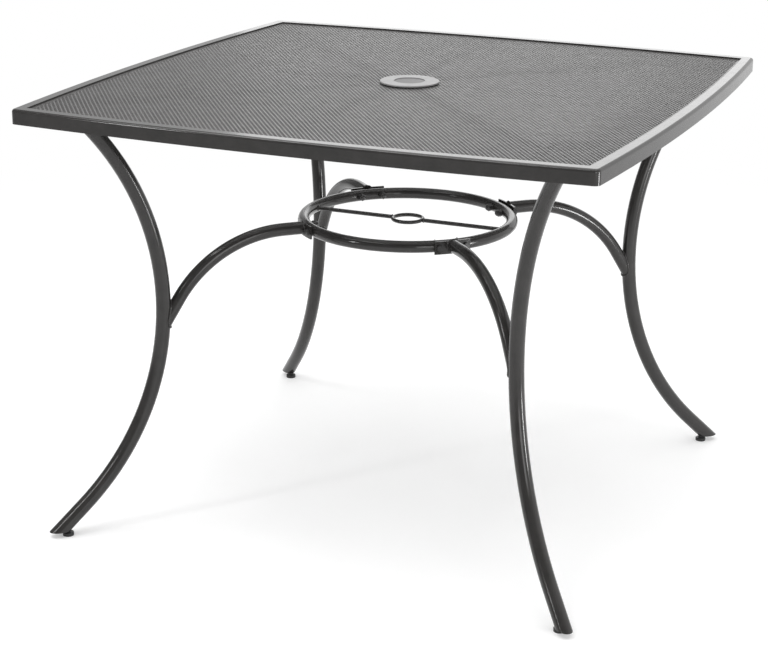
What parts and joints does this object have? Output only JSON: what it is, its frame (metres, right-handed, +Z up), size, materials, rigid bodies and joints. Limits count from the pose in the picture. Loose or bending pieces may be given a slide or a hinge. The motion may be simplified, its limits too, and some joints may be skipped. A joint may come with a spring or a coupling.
{
  "type": "umbrella table",
  "caption": "Square bowed-edge steel mesh patio table on curved tube legs, with braces tied by a ring and a capped umbrella hole.",
  "frame": {"origin": "on the floor, straight under the middle of the umbrella hole", "axes": "+Z up; -Y towards the side nearest the viewer in the picture; the crossbars run along X"},
  "size_m": [0.9998, 0.9998, 0.7385],
  "materials": {
    "frame_coat": "dark charcoal powder coat, satin",
    "mesh_coat": "dark charcoal powder coat, satin, on expanded steel",
    "ring_plastic": "pale grey moulded plastic, fine grain",
    "cap_plastic": "mid grey moulded plastic, fine grain",
    "foot_plastic": "black moulded plastic",
    "bolt_black": "black oxide, satin"
  },
  "bodies": {
    "table": {"brace_back_left": "frame_coat", "brace_back_right": "frame_coat", "brace_front_left": "frame_coat", "brace_front_right": "frame_coat", "cross_rod_back": "frame_coat", "cross_rod_front": "frame_coat", "cross_rod_left": "frame_coat", "cross_rod_right": "frame_coat", "crossbar_left": "frame_coat", "crossbar_right": "frame_coat", "foot_glide_back_left": "foot_plastic", "foot_glide_back_right": "foot_plastic", "foot_glide_front_left": "foot_plastic", "foot_glide_front_right": "foot_plastic", "gusset_back_left": "frame_coat", "gusset_back_right": "frame_coat", "gusset_front_left": "frame_coat", "gusset_front_right": "frame_coat", "hub_collar": "frame_coat", "leg_back_left": "frame_coat", "leg_back_right": "frame_coat", "leg_bolts": "bolt_black", "leg_end_plate_back_left": "frame_coat", "leg_end_plate_back_right": "frame_coat", "leg_end_plate_front_left": "frame_coat", "leg_end_plate_front_right": "frame_coat", "leg_front_left": "frame_coat", "leg_front_right": "frame_coat", "leg_nuts": "bolt_black", "leg_plate_back_left": "frame_coat", "leg_plate_back_right": "frame_coat", "leg_plate_front_left": "frame_coat", "leg_plate_front_right": "frame_coat", "mesh_top": "mesh_coat", "pole_guide": "frame_coat", "rim_rail_back": "frame_coat", "rim_rail_front": "frame_coat", "rim_rail_left": "frame_coat", "rim_rail_right": "frame_coat", "ring_bolts": "bolt_black", "ring_nuts": "bolt_black", "saddle_plate_back_left": "frame_coat", "saddle_plate_back_right": "frame_coat", "saddle_plate_front_left": "frame_coat", "saddle_plate_front_right": "frame_coat", "strut_back_left": "frame_coat", "strut_back_right": "frame_coat", "strut_front_left": "frame_coat", "strut_front_right": "frame_coat", "tube_ring": "frame_coat", "umbrella_ring": "ring_plastic"},
    "cap": {"umbrella_cap": "cap_plastic"}
  },
  "joints": [
    {"name": "cap_lift", "type": "slide", "parent": "table", "child": "cap", "axis": [0, 0, 1], "range_m": [0, 0.03]}
  ]
}
